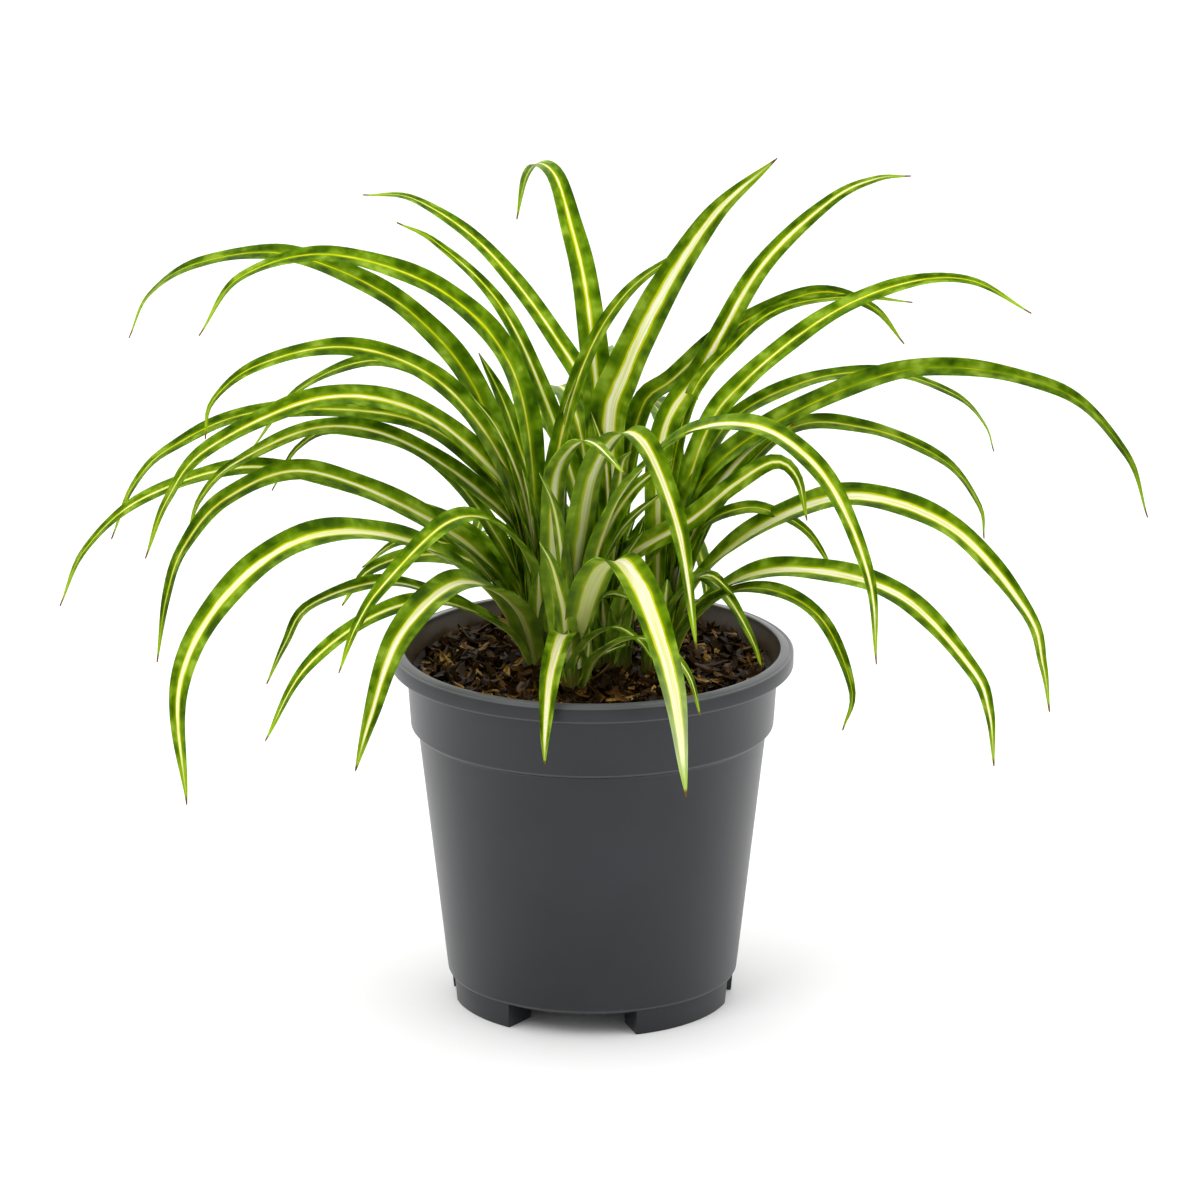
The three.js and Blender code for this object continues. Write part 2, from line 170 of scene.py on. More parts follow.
pot = {
    "height": 136.5,
    "wall": 1.6,
    "floorThickness": 2.2,
    "footHeight": 9.5,
    "footInnerRadius": 39,
    "footOuterRadius": 52.8,
    "footTopRadius": 53.6,
    "notches": ((-98.5, 54), (-10, 16.5), (84, 54), (186.5, 15)),  # middle and span, degrees
    "bodyFootRadius": 54.8,
    "bodyTopRadius": 65.4,
    "collarFootHeight": 106.5,
    "collarFootRadius": 68.2,
    "collarTopRadius": 69.7,
    "rimRadius": 75.5,
    "rimInnerRadius": 70.5,
    "rimHeight": 6.5,
    "innerStep": 1.4,  # the collar's step inside starts and ends this far from its foot
    "edgeRound": 0.4,
    "edgeAngle": 62,  # only edges sharper than this are rounded, degrees
    "steps": 180,
    "drainSlots": 6,
    "drainRadius": 26,
    "drainSlot": (13, 3.4, 12),  # length, width and the cutter's height
}

potLook = {
    "dark": "#1b1c20",
    "light": "#222429",
    "dust": "#5a452c",
    # paintedHighlight: a pale colour painted on as highlight, lipHighlightShare of it on the lip's upward
    # faces and edgeHighlightShare on thin bands at the lower edges
    "paintedHighlight": "#8c8d90",
    "lipHighlightShare": 0.3,
    "edgeHighlightShare": 0.14,
    "roughness": (0.31, 0.41),
    "specular": 0.4,
    "cloudScale": 22.0,  # per metre: patches of 45 mm
    "dustScale": 160.0,  # 6 mm
    "grainScale": 2600.0,  # 0.4 mm
}


# Polypropylene, injection moulded and dyed dark grey: a satin face with the faint grain of its mould.
# Thin bands at its lower edges are painted lighter as a painted highlight. Inside, the wall over the mix is
# brown with dried dust, and a pale painted highlight lies on the upward faces of the lip's top.
def potMaterial():
    material, tree = newMaterial("mouldedPolypropylene")
    place = addNode(tree, "ShaderNodeTexCoord").node.outputs["Object"]
    height = addNode(tree, "ShaderNodeSeparateXYZ", {0: place}).node.outputs[2]
    cloud = addNode(tree, "ShaderNodeTexNoise",
                    {"Vector": place, "Scale": potLook["cloudScale"], "Detail": 3.0})
    colour = addNode(tree, "ShaderNodeValToRGB", {0: cloud})
    setStops(colour, ((0.3, potLook["dark"]), (0.7, potLook["light"])))
    offAxis = addNode(tree, "ShaderNodeVectorMath", {0: place, 1: axis}, operation="SUBTRACT")
    offAxis = addNode(tree, "ShaderNodeVectorMath", {0: offAxis, 1: (1, 1, 0)}, operation="MULTIPLY")
    normal = addNode(tree, "ShaderNodeNewGeometry").node.outputs["Normal"]
    outwards = addNode(tree, "ShaderNodeVectorMath", {0: offAxis, 1: normal}, operation="DOT_PRODUCT")
    outwards = outwards.node.outputs["Value"]
    upwards = addNode(tree, "ShaderNodeSeparateXYZ", {0: normal}).node.outputs[2]
    dust = addNode(tree, "ShaderNodeTexNoise",
                   {"Vector": place, "Scale": potLook["dustScale"], "Detail": 4.0})
    # Each coat covers by the product of its shares, which run between two values of one pattern.
    coats = [
        (potLook["dust"], ((outwards, -0.05, -0.03, 1.0, 0.0), (height, 0.119, 0.122, 0.0, 1.0),
                           (height, 0.128, 0.1362, 0.95, 0.5), (dust, 0.3, 0.6, 0.6, 1.0))),
        # painted highlight: the upward faces of the lip's top are painted paler
        (potLook["paintedHighlight"], ((upwards, 0.2, 0.95, 0.0, potLook["lipHighlightShare"]), (height, 0.129, 0.13, 0.0, 1.0))),
    ]
    rimFoot = pot["height"] - pot["rimHeight"]
    # painted highlight: a thin pale line on the outward face just above the foot, the collar's foot and the
    # lip's foot
    for edge in (pot["footHeight"] + 1.1, pot["collarFootHeight"] + 0.8, rimFoot + 0.4):
        above = addNode(tree, "ShaderNodeMath", {0: height, 1: edge * mm}, operation="SUBTRACT")
        fromEdge = addNode(tree, "ShaderNodeMath", {0: above}, operation="ABSOLUTE")
        coats.append((potLook["paintedHighlight"], ((fromEdge, 0.1 * mm, 0.6 * mm, potLook["edgeHighlightShare"], 0.0),
                                        (outwards, 0.03, 0.05, 0.0, 1.0))))
    for coat, ranges in coats:
        share = 1.0
        for pattern, low, high, atLow, atHigh in ranges:
            cover = addNode(tree, "ShaderNodeMapRange", {0: pattern, 1: low, 2: high, 3: atLow, 4: atHigh},
                            interpolation_type="SMOOTHSTEP")
            share = addNode(tree, "ShaderNodeMath", {0: share, 1: cover}, operation="MULTIPLY")
        colour = addNode(tree, "ShaderNodeMix", {0: share, 6: colour, 7: coat}, data_type="RGBA")
    grain = addNode(tree, "ShaderNodeTexNoise",
                    {"Vector": place, "Scale": potLook["grainScale"], "Detail": 2.0})
    bump = addNode(tree, "ShaderNodeBump", {"Strength": 0.10, "Distance": 0.05 * mm, "Height": grain})
    smoothest, roughest = potLook["roughness"]
    rough = addNode(tree, "ShaderNodeMapRange", {0: cloud, 3: smoothest, 4: roughest})
    shader = addNode(tree, "ShaderNodeBsdfPrincipled",
                     {"Base Color": colour, "Roughness": rough, "IOR": 1.49,
                      "Specular IOR Level": potLook["specular"], "Normal": bump})
    addNode(tree, "ShaderNodeOutputMaterial", {"Surface": shader})
    return material


# The radius of the pot's inner wall at a height, in millimetres.
def innerRadius(height):
    rows = [
        (pot["footHeight"] + pot["floorThickness"], pot["bodyFootRadius"] - pot["wall"]),
        (pot["collarFootHeight"] - pot["innerStep"], pot["bodyTopRadius"] - pot["wall"]),
        (pot["collarFootHeight"] + pot["innerStep"], pot["collarFootRadius"] - pot["wall"]),
        (pot["height"] - pot["rimHeight"], pot["collarTopRadius"] - pot["wall"]),
    ]
    for (lowHeight, lowRadius), (highHeight, highRadius) in zip(rows, rows[1:]):
        if height <= highHeight:
            part = (height - lowHeight) / (highHeight - lowHeight)
            return lowRadius + (highRadius - lowRadius) * max(0, part)
    return rows[-1][1]


def azimuthOf(point):
    return math.degrees(math.atan2(point.y - axis.y, point.x - axis.x))


def buildPot():
    rimFoot = pot["height"] - pot["rimHeight"]
    floorTop = pot["footHeight"] + pot["floorThickness"]
    step = pot["collarFootHeight"]
    lip = pot["rimRadius"]
    inner = pot["rimInnerRadius"]
    collar = pot["collarFootRadius"]
    top = pot["height"]
    inside = [step + pot["innerStep"], step - pot["innerStep"], floorTop]
    profile = [  # from the middle of the underside, up the outside, over the lip and down the inside
        (0, pot["footHeight"]),
        (pot["footInnerRadius"], pot["footHeight"]),
        (pot["footTopRadius"], pot["footHeight"]),
        (pot["footTopRadius"] + 0.7, pot["footHeight"] + 0.35),
        (pot["bodyFootRadius"], pot["footHeight"] + 1.3),
        (pot["bodyTopRadius"], step - 1.8),
        (pot["bodyTopRadius"] + 0.4, step - 0.7),
        (pot["bodyTopRadius"] + 1.2, step),
        *roundCorner(collar - 0.9, step + 1.1, 0.9, -80, 0),
        (pot["collarTopRadius"], rimFoot),
        *roundCorner(lip - 0.6, rimFoot + 0.6, 0.6, -90, 0),
        *roundCorner(lip - 0.8, top - 1.5, 0.8, 0, 90),
        (lip - 1.5, top - 0.95),  # a shallow groove round the top of the lip
        (lip - 2.1, top - 0.45),
        (inner + 1.4, top - 0.15),
        *roundCorner(inner + 0.5, top - 0.5, 0.5, 90, 180),
        (inner, top - 2.2),
        (innerRadius(rimFoot), rimFoot),
        *((innerRadius(height), height) for height in inside),
        (0, floorTop),
    ]
    piece = spinProfile("nurseryPot", profile, pot["steps"], axis)

    def onFoot(polygon):
        centre = polygon.center
        radius = (centre - axis).to_2d().length / mm
        if abs(centre.z / mm - pot["footHeight"]) > 0.01 or radius < pot["footInnerRadius"]:
            return False
        turn = azimuthOf(centre)
        return all(abs((turn - middle + 180) % 360 - 180) > span / 2 for middle, span in pot["notches"])

    selectFaces(piece, onFoot)
    bpy.ops.mesh.extrude_region_move(TRANSFORM_OT_translate={"value": (0, 0, -pot["footHeight"] * mm)})
    bpy.ops.object.mode_set(mode="OBJECT")
    middle = (pot["footInnerRadius"] + pot["footOuterRadius"]) / 2 * mm
    for vertex in piece.data.vertices:  # the feet narrow by their mould's draught
        flat = (vertex.co - axis).to_2d()
        if vertex.co.z < mm and flat.length > middle:
            flat *= pot["footOuterRadius"] * mm / flat.length
            vertex.co.x, vertex.co.y = axis.x + flat.x, axis.y + flat.y
    clearSelection()
    slots = []
    for i in range(pot["drainSlots"]):
        angle = 2 * math.pi * i / pot["drainSlots"]
        spot = axis + Vector((math.cos(angle), math.sin(angle), 0)) * pot["drainRadius"] * mm
        spot.z = pot["footHeight"] * mm
        bpy.ops.mesh.primitive_cube_add(size=1, location=spot, rotation=(0, 0, angle))
        slots.append(bpy.context.object)
        slots[-1].scale = Vector(pot["drainSlot"]) * mm
    cutter = joinPieces(slots, "drainSlots")
    applyModifier(piece, "BOOLEAN", object=cutter, operation="DIFFERENCE", solver="EXACT")
    bpy.data.objects.remove(cutter)
    applyModifier(piece, "BEVEL", width=pot["edgeRound"] * mm, segments=2, limit_method="ANGLE",
                  angle_limit=math.radians(pot["edgeAngle"]))
    smoothShade(piece, 40)
    piece.data.materials.append(potMaterial())
    finishPiece(piece, "pot")
    print("stage: pot,", len(piece.data.polygons), "faces")


mix = {
    "top": 129.5,
    "gap": 0.3,
    "rings": 26,
    "humps": 1.6,
    "humpScale": 28,  # per metre: 36 mm
    "bumps": 1.3,
    "bumpScale": 190,  # 5 mm
    "calmEdge": 9,  # the bed is more even this close to the wall
    "sink": 1.4,
    "chips": 1500,
    "chipLength": (3.2, 10.5),
    "chipWidth": (1.4, 4.2),
    "chipThickness": (0.6, 1.7),
    "chipLift": (-0.6, 2.2),
    "chipPitch": 24,  # degrees
    "chipRoll": 22,
    "chipCurl": (-2.4, 3.6),
    "paleEdge": (-0.1, 0.5),
    "darkBias": 2.5,  # a higher power makes more of the flakes dark
    "crownRoom": 9,
    "wallRoom": 3.2,
    "kinds": 9,
}

barkLook = {
    "stops": ((0.20, "#140a01"), (0.46, "#2e1c08"), (0.68, "#4a3010"), (0.86, "#74501c"), (0.98, "#c39b58")),
    "glint": "#b98a4a",
    "fibreScale": 620.0,  # per metre: 1.6 mm
    "roughness": (0.3, 0.8),
    "fines": -0.12,
}


# Composted bark: flakes from almost black to tan, damp enough to glint, with fibres along the flake.
def barkMaterial(name, chips):
    material, tree = newMaterial(name)
    place = addNode(tree, "ShaderNodeTexCoord").node.outputs["Object"]
    fibre = addNode(tree, "ShaderNodeTexNoise",
                    {"Vector": place, "Scale": barkLook["fibreScale"], "Detail": 5.0, "Roughness": 0.65,
                     "Distortion": 1.6})
    tone = barkLook["fines"]
    if chips:
        tone = addNode(tree, "ShaderNodeAttribute", attribute_name="barkTone").node.outputs["Fac"]
        tone = addNode(tree, "ShaderNodeMath", {0: tone, 1: 0.8, 2: -0.16}, operation="MULTIPLY_ADD")
    blend = addNode(tree, "ShaderNodeMath", {0: fibre, 1: 0.6, 2: tone}, operation="MULTIPLY_ADD")
    colour = addNode(tree, "ShaderNodeValToRGB", {0: blend})
    setStops(colour, barkLook["stops"])
    bump = addNode(tree, "ShaderNodeBump", {"Strength": 0.8, "Distance": 0.5 * mm, "Height": fibre})
    smoothest, roughest = barkLook["roughness"]
    rough = addNode(tree, "ShaderNodeMapRange", {0: fibre, 3: smoothest, 4: roughest})
    shader = addNode(tree, "ShaderNodeBsdfPrincipled",
                     {"Base Color": colour, "Roughness": rough, "IOR": 1.45, "Specular IOR Level": 0.3,
                      "Specular Tint": barkLook["glint"], "Normal": bump})
    addNode(tree, "ShaderNodeOutputMaterial", {"Surface": shader})
    return material


# The top of the bed of fines at a place from the pot's axis, in metres.
def mixHeight(x, y):
    humps = noise.noise(Vector((x * mix["humpScale"], y * mix["humpScale"], 3.1))) * mix["humps"]
    bumps = noise.noise(Vector((x * mix["bumpScale"], y * mix["bumpScale"], 0.4))) * mix["bumps"]
    fromWall = innerRadius(mix["top"]) - math.hypot(x, y) / mm
    loose = min(1, max(0, fromWall / mix["calmEdge"]))
    return (mix["top"] + (humps + bumps) * (0.35 + 0.65 * loose) - mix["sink"]) * mm


def buildMix():
    floorTop = pot["footHeight"] + pot["floorThickness"] + mix["gap"]
    step = pot["collarFootHeight"]
    topRadius = innerRadius(mix["top"]) - mix["gap"]
    profile = [
        (0, floorTop),
        (innerRadius(floorTop) - 2 * mix["gap"], floorTop),
        (innerRadius(step - pot["innerStep"]) - mix["gap"], step - pot["innerStep"]),
        (innerRadius(step + pot["innerStep"]) - mix["gap"], step + 2),
    ]
    rings = mix["rings"]
    profile += [(topRadius * ring / rings, mix["top"]) for ring in range(rings, -1, -1)]
    bed = spinProfile("barkBed", profile, 90, axis)
    for vertex in bed.data.vertices:
        if vertex.co.z > (mix["top"] - 0.1) * mm:
            vertex.co.z = mixHeight(vertex.co.x - axis.x, vertex.co.y - axis.y)
    smoothShade(bed, 60)
    bed.data.materials.append(barkMaterial("dampBarkFines", False))
    finishPiece(bed, "potting_mix")

    draw = random.Random(5)
    kinds = []
    for kind in range(mix["kinds"]):
        clearSelection()
        bpy.ops.mesh.primitive_cube_add(size=1, location=(0, 0, 0))
        chip = bpy.context.object
        bpy.ops.object.mode_set(mode="EDIT")
        bpy.ops.mesh.subdivide(number_cuts=1)
        bpy.ops.mesh.select_all(action="SELECT")
        bpy.ops.transform.vertex_random(offset=0.15, uniform=1.0, normal=0.0, seed=kind + 1)
        bpy.ops.object.mode_set(mode="OBJECT")
        curl = draw.uniform(*mix["chipCurl"])
        for vertex in chip.data.vertices:  # flakes taper to their ends and curl
            end = abs(vertex.co.x) * 2
            vertex.co.y *= 1 - 0.55 * end * end
            vertex.co.z = vertex.co.z * (1 - 0.4 * end) + curl * vertex.co.x * vertex.co.x
        kinds.append(chip)
    chips = []
    crowns = [rosette["crown"] for rosette in rosettes]
    while len(chips) < mix["chips"]:
        reach = (topRadius - mix["wallRoom"]) * math.sqrt(draw.random())
        angle = draw.uniform(0, 2 * math.pi)
        x, y = reach * math.cos(angle), reach * math.sin(angle)
        size = [draw.uniform(*mix[key]) * mm for key in ("chipLength", "chipWidth", "chipThickness")]
        lift = draw.uniform(*mix["chipLift"])
        turn = Matrix.Rotation(draw.uniform(0, 2 * math.pi), 4, "Z")
        pitch = Matrix.Rotation(math.radians(draw.gauss(0, mix["chipPitch"])), 4, "Y")
        roll = Matrix.Rotation(math.radians(draw.gauss(0, mix["chipRoll"])), 4, "X")
        tone = draw.random() ** mix["darkBias"]
        if any(math.hypot(x - cx, y - cy) < mix["crownRoom"] for cx, cy in crowns):
            continue
        if reach + size[0] / mm / 2 > topRadius - 0.5:  # near the wall a flake lies along it
            turn = Matrix.Rotation(angle + math.pi / 2, 4, "Z")
        shape = kinds[len(chips) % len(kinds)].data
        chip = bpy.data.objects.new("barkChip", shape.copy())
        bpy.context.collection.objects.link(chip)
        spot = Vector((axis.x + x * mm, axis.y + y * mm, mixHeight(x * mm, y * mm) + lift * mm))
        chip.data.transform(Matrix.Translation(spot) @ turn @ pitch @ roll @ Matrix.Diagonal((*size, 1)))
        tones = chip.data.attributes.new("barkTone", "FLOAT", "POINT")
        edge = draw.uniform(*mix["paleEdge"])  # some flakes are torn to a paler edge
        rims = [abs(vertex.co.y) > 0.2 and vertex.co.z > 0 for vertex in shape.vertices]
        tones.data.foreach_set("value", [tone + edge * rim for rim in rims])
        chips.append(chip)
    for chip in kinds:
        bpy.data.objects.remove(chip)
    layer = joinPieces(chips, "barkChips")
    smoothShade(layer, 38)
    layer.data.materials.clear()
    layer.data.materials.append(barkMaterial("barkFlakes", True))
    finishPiece(layer, "potting_mix")
    print("stage: potting mix,", len(layer.data.polygons), "faces")


blade = {
    "thickness": 0.42,
    "rootDepth": 6,
    "rootSpread": 3.5,
    "rootWidth": 0.55,
    "fullWidthAt": 0.24,
    "taperPower": 2.8,
    "taperBlunt": 0.85,
    "tipWidth": 0.35,
    "station": 3.2,
    "across": 8,
    "foldAtRoot": 52,
    "foldAtMiddle": 21,
    "foldAtTip": 12,
    "openBy": 0.4,  # of its length: the fold of the root ends here, and its lean is full at leanBy
    "leanBy": 0.35,
    "keelRound": 0.22,
    "keelDrop": 0.35,
    "ripple": 0.35,
    "rippleLength": 37,
    "stripePower": 0.6,
    "paleFrom": 0.66,
    "paleOver": 0.3,
}

leafLook = {
    "patterns": (  # features per blade width, and per metre along it
        ("mottle", 1.4, 125),  # 8 mm
        ("drift", 1.2, 30),  # 33 mm
        ("veins", 44, 7),
        ("wobble", 2.4, 95),  # 11 mm
        ("streaks", 13, 26),
    ),
    "wobble": 0.20,
    "streaks": 0.18,
    "greens": ((0.32, "#2e4a00"), (0.44, "#4a6a00"), (0.56, "#69890a"), (0.70, "#93ad30")),
    "creams": ((0.36, "#dddc98"), (0.52, "#efedc4"), (0.66, "#fbf9e4")),
    # painted shade: shadedRootCream and shadedRootLine are the cream band and its yellow lines dulled to
    # khaki near the root
    "shadedRootCream": "#c2c36c",
    "lime": "#8aa604",
    "vein": "#3a5a04",
    "line": "#c6c70c",
    "shadedRootLine": "#8a941c",
    "root": "#7a8c12",
    "pale": "#dfe5b8",
    "limeTip": "#94b010",
    "brownTip": "#6b4514",
    "under": "#8ba24a",
    "underShare": 0.2,
    "roughness": 0.42,
    "underRoughness": 0.5,
    "specular": 0.1,
    "sheen": "#e0e896",
    "glow": 0.45,
    "glowDepth": (0.6, 1.0, 0.15),  # millimetres that red, green and blue light run through the tissue
}


# Living leaf skin: a satin cuticle over green tissue, with a cream band where the tissue has no green.
# The eye sees soft cross mottling, thin yellow lines beside the band, and fine lengthwise veins.
def leafMaterial(name, under):
    material, tree = newMaterial(name)
    place = addNode(tree, "ShaderNodeUVMap", uv_map="bladeMap")
    across, along = addNode(tree, "ShaderNodeSeparateXYZ", {0: place}).node.outputs[:2]  # 0 to 1, and metres
    share, stripe, tone, pale = (
        addNode(tree, "ShaderNodeAttribute", attribute_name=layer).node.outputs["Fac"]
        for layer in ("bladeShare", "stripeShare", "leafTone", "paleShare")
    )
    leafShift = addNode(tree, "ShaderNodeMath", {0: tone, 1: 37.0}, operation="MULTIPLY")
    patterns = {}
    for pattern, perWidth, perMetre in leafLook["patterns"]:
        x = addNode(tree, "ShaderNodeMath", {0: across, 1: perWidth, 2: leafShift}, operation="MULTIPLY_ADD")
        y = addNode(tree, "ShaderNodeMath", {0: along, 1: perMetre}, operation="MULTIPLY")
        spot = addNode(tree, "ShaderNodeCombineXYZ", {0: x, 1: y, 2: leafShift})
        patterns[pattern] = addNode(tree, "ShaderNodeTexNoise", {"Vector": spot, "Scale": 1.0, "Detail": 2.0})
    signed = addNode(tree, "ShaderNodeMath", {0: across, 1: 2.0, 2: -1.0}, operation="MULTIPLY_ADD")
    fromMiddle = addNode(tree, "ShaderNodeMath", {0: signed}, operation="ABSOLUTE")
    offBand = addNode(tree, "ShaderNodeMath", {0: fromMiddle, 1: stripe}, operation="SUBTRACT")
    for pattern in ("wobble", "streaks"):
        offBand = addNode(tree, "ShaderNodeMath", {0: patterns[pattern], 1: leafLook[pattern], 2: offBand},
                          operation="MULTIPLY_ADD")
    offBand = addNode(tree, "ShaderNodeMath", {0: offBand, 1: (leafLook["wobble"] + leafLook["streaks"]) / 2},
                      operation="SUBTRACT")
    drift = addNode(tree, "ShaderNodeMath", {0: patterns["drift"], 1: 0.4, 2: -0.2}, operation="MULTIPLY_ADD")
    mottle = addNode(tree, "ShaderNodeMath", {0: patterns["mottle"], 1: drift}, operation="ADD")
    colour = addNode(tree, "ShaderNodeValToRGB", {0: mottle})
    setStops(colour, leafLook["greens"])
    cream = addNode(tree, "ShaderNodeValToRGB", {0: patterns["streaks"]})
    setStops(cream, leafLook["creams"])
    # painted shade: towards the root the cream band and its yellow lines are dulled to khaki, as in the shade
    # of the crowded crown
    paintedRootShade = addNode(tree, "ShaderNodeMapRange", {0: share, 1: 0.08, 2: 0.6, 3: 0.95, 4: 0.0},
                        interpolation_type="SMOOTHSTEP")
    cream = addNode(tree, "ShaderNodeMix", {0: paintedRootShade, 6: cream, 7: leafLook["shadedRootCream"]},
                    data_type="RGBA")
    line = addNode(tree, "ShaderNodeMix", {0: paintedRootShade, 6: leafLook["line"], 7: leafLook["shadedRootLine"]},
                   data_type="RGBA")
    # Each coat covers what lies under it by a share that runs between two values of one pattern.
    coats = (
        (offBand, 0.42, 0.08, 0.0, 0.55, leafLook["lime"]),
        (patterns["veins"], 0.42, 0.62, 0.0, 0.30, leafLook["vein"]),
        (offBand, 0.14, 0.06, 0.0, 1.0, line),
        (offBand, 0.03, -0.04, 0.0, 1.0, cream),
        (share, 0.0, 0.22, 0.62, 0.0, leafLook["root"]),
        (pale, 0.0, 1.0, 0.0, 1.0, leafLook["pale"]),
        (share, 0.91, 0.975, 0.0, 0.75, leafLook["limeTip"]),
        (share, 0.982, 0.992, 0.0, 1.0, leafLook["brownTip"]),
    )
    for pattern, low, high, atLow, atHigh, coat in coats:
        cover = addNode(tree, "ShaderNodeMapRange", {0: pattern, 1: low, 2: high, 3: atLow, 4: atHigh},
                        interpolation_type="SMOOTHSTEP")
        colour = addNode(tree, "ShaderNodeMix", {0: cover, 6: colour, 7: coat}, data_type="RGBA")
    if under:
        colour = addNode(tree, "ShaderNodeMix", {0: leafLook["underShare"], 6: colour, 7: leafLook["under"]},
                         data_type="RGBA")
    value = addNode(tree, "ShaderNodeMapRange", {0: tone, 3: 0.84, 4: 1.14})
    colour = addNode(tree, "ShaderNodeHueSaturation", {"Color": colour, "Value": value})
    relief = addNode(tree, "ShaderNodeMath", {0: mottle, 1: 0.5, 2: patterns["veins"]},
                     operation="MULTIPLY_ADD")
    bump = addNode(tree, "ShaderNodeBump", {"Strength": 0.35, "Distance": 0.12 * mm, "Height": relief})
    shader = addNode(tree, "ShaderNodeBsdfPrincipled",
                     {"Base Color": colour, "IOR": 1.45, "Normal": bump,
                      "Roughness": leafLook["underRoughness"] if under else leafLook["roughness"],
                      "Specular IOR Level": leafLook["specular"], "Specular Tint": leafLook["sheen"],
                      "Subsurface Weight": leafLook["glow"], "Subsurface Scale": mm,
                      "Subsurface Radius": leafLook["glowDepth"]})
    addNode(tree, "ShaderNodeOutputMaterial", {"Surface": shader})
    return material


# A smooth curve through the points, as many close points.
def curvePoints(points, perSpan=24):
    padded = [2 * points[0] - points[1]] + points + [2 * points[-1] - points[-2]]
    dense = []
    for before, start, end, after in zip(padded, padded[1:], padded[2:], padded[3:]):
        leave, arrive = (end - before) / 2, (after - start) / 2
        for i in range(perSpan):
            t = i / perSpan
            dense.append((2 * t**3 - 3 * t**2 + 1) * start + (t**3 - 2 * t**2 + t) * leave
                         + (3 * t**2 - 2 * t**3) * end + (t**3 - t**2) * arrive)
    dense.append(points[-1])
    return dense


# The curve at even steps of its own length: places, directions and the length.
def evenSteps(dense, steps):
    runs = [0.0]
    for start, end in zip(dense, dense[1:]):
        runs.append(runs[-1] + (end - start).length)
    length = runs[-1]
    places, directions, index = [], [], 0
    for i in range(steps + 1):
        target = length * i / steps
        while index < len(dense) - 2 and runs[index + 1] < target:
            index += 1
        part = (target - runs[index]) / (runs[index + 1] - runs[index])
        places.append(dense[index].lerp(dense[index + 1], part))
    for i in range(steps + 1):
        directions.append((places[min(steps, i + 1)] - places[max(0, i - 1)]).normalized())
    return places, directions, length


# How wide a blade is at a share of its length, next to its full width.
def widthShare(along):
    opening = min(1, along / blade["fullWidthAt"])
    root = blade["rootWidth"] + (1 - blade["rootWidth"]) * opening
    return root * (1 - along ** blade["taperPower"]) ** blade["taperBlunt"]


# One leaf: a grid laid along its path, folded into a keel, leaned and rippled, then given its thickness.
# A wrap over 1 folds its root tighter.
def buildBlade(crown, leaf, draw, materials, wrap=1.0):
    angle = math.radians(leaf["to"])
    outward = Vector((math.cos(angle), math.sin(angle), 0))
    sideways = Vector((-math.sin(angle), math.cos(angle), 0))
    shift = leaf.get("shift", (0, 0))
    root = axis + Vector((crown[0] + shift[0], crown[1] + shift[1], mix["top"])) * mm
    rootReach = min(blade["rootSpread"], max(0, leaf["path"][0][0]))
    path = [(rootReach, -blade["rootDepth"])] + leaf["path"]
    points = [root + outward * reach * mm + Vector((0, 0, height * mm)) for reach, height in path]
    dense = curvePoints(points)
    steps = max(10, round(sum((b - a).length for a, b in zip(dense, dense[1:])) / mm / blade["station"]))
    places, directions, length = evenSteps(dense, steps)
    clearSelection()
    bpy.ops.mesh.primitive_grid_add(x_subdivisions=blade["across"], y_subdivisions=steps, size=1,
                                    location=(0, 0, 0))
    piece = bpy.context.object
    mesh = piece.data
    towardsFront = math.copysign(1, math.cos(angle))
    phase, tone = draw.uniform(0, 6.28), draw.random()
    stripeRoot, stripeTip = leaf["stripe"]
    shares, stripes, pales = [], [], []
    for vertex in mesh.vertices:
        reach, along = -2 * vertex.co.x, vertex.co.y + 0.5
        index = min(steps, max(0, round(along * steps)))
        forward, centre = directions[index], places[index]
        up = forward.cross(sideways).normalized()
        settled = min(1, along / blade["leanBy"])
        turn = towardsFront * math.radians(leaf["lean"] * settled + leaf.get("twist", 0) * along * along)
        roll = Matrix.Rotation(turn, 3, forward)
        side, face = roll @ sideways, roll @ up
        half = max(blade["tipWidth"], leaf["width"] * widthShare(min(1, along))) / 2 * mm
        opened = min(1, along / blade["openBy"])
        closed = (1 - opened) ** 1.5 * wrap
        fold = blade["foldAtMiddle"] + (blade["foldAtRoot"] - blade["foldAtMiddle"]) * closed
        fold = math.radians(fold + (blade["foldAtTip"] - blade["foldAtMiddle"]) * max(0, along - 0.5) * 2)
        keel = math.sqrt(reach * reach + blade["keelRound"] ** 2) - blade["keelRound"]
        run = along * length / mm
        wave = math.sin(run * 6.28 / blade["rippleLength"] + phase + reach)
        ripple = blade["ripple"] * mm * wave * reach * reach
        ripple *= min(1, half / (3 * mm))
        rise = half * math.sin(fold) * (keel - blade["keelDrop"])
        vertex.co = centre + side * half * reach * math.cos(fold) + face * (rise + ripple)
        shares.append(along * leaf.get("grown", 1))
        stripes.append(stripeRoot + (stripeTip - stripeRoot) * along ** blade["stripePower"])
        pales.append(leaf.get("pale", 0) * min(1, max(0, (along - blade["paleFrom"]) / blade["paleOver"])))
    for layerName, values in (("bladeShare", shares), ("stripeShare", stripes), ("paleShare", pales),
                              ("leafTone", [tone] * len(shares))):
        mesh.attributes.new(layerName, "FLOAT", "POINT").data.foreach_set("value", values)
    uvs = mesh.uv_layers.active
    uvs.name = "bladeMap"
    for corner in uvs.data:  # metres along the blade
        corner.uv.y *= length
    for material in materials:
        mesh.materials.append(material)
    applyModifier(piece, "SOLIDIFY", thickness=blade["thickness"] * mm, offset=0.0, material_offset=1)
    return piece


crownLook = {
    "profile": [(0, -9), (7.2, -9), (7.0, -2), (6.6, 6), (5.6, 16), (4.4, 24), (0, 27)],
    "sheaths": 10,
    "sheathWidth": 15,
    "sheathLength": (28, 66),
    "frontShare": 0.6,  # of that length on the side towards the camera
    "greens": ((0.35, "#2c3f05"), (0.55, "#4d6110"), (0.7, "#75862e")),
    "soil": "#5c4a22",
}


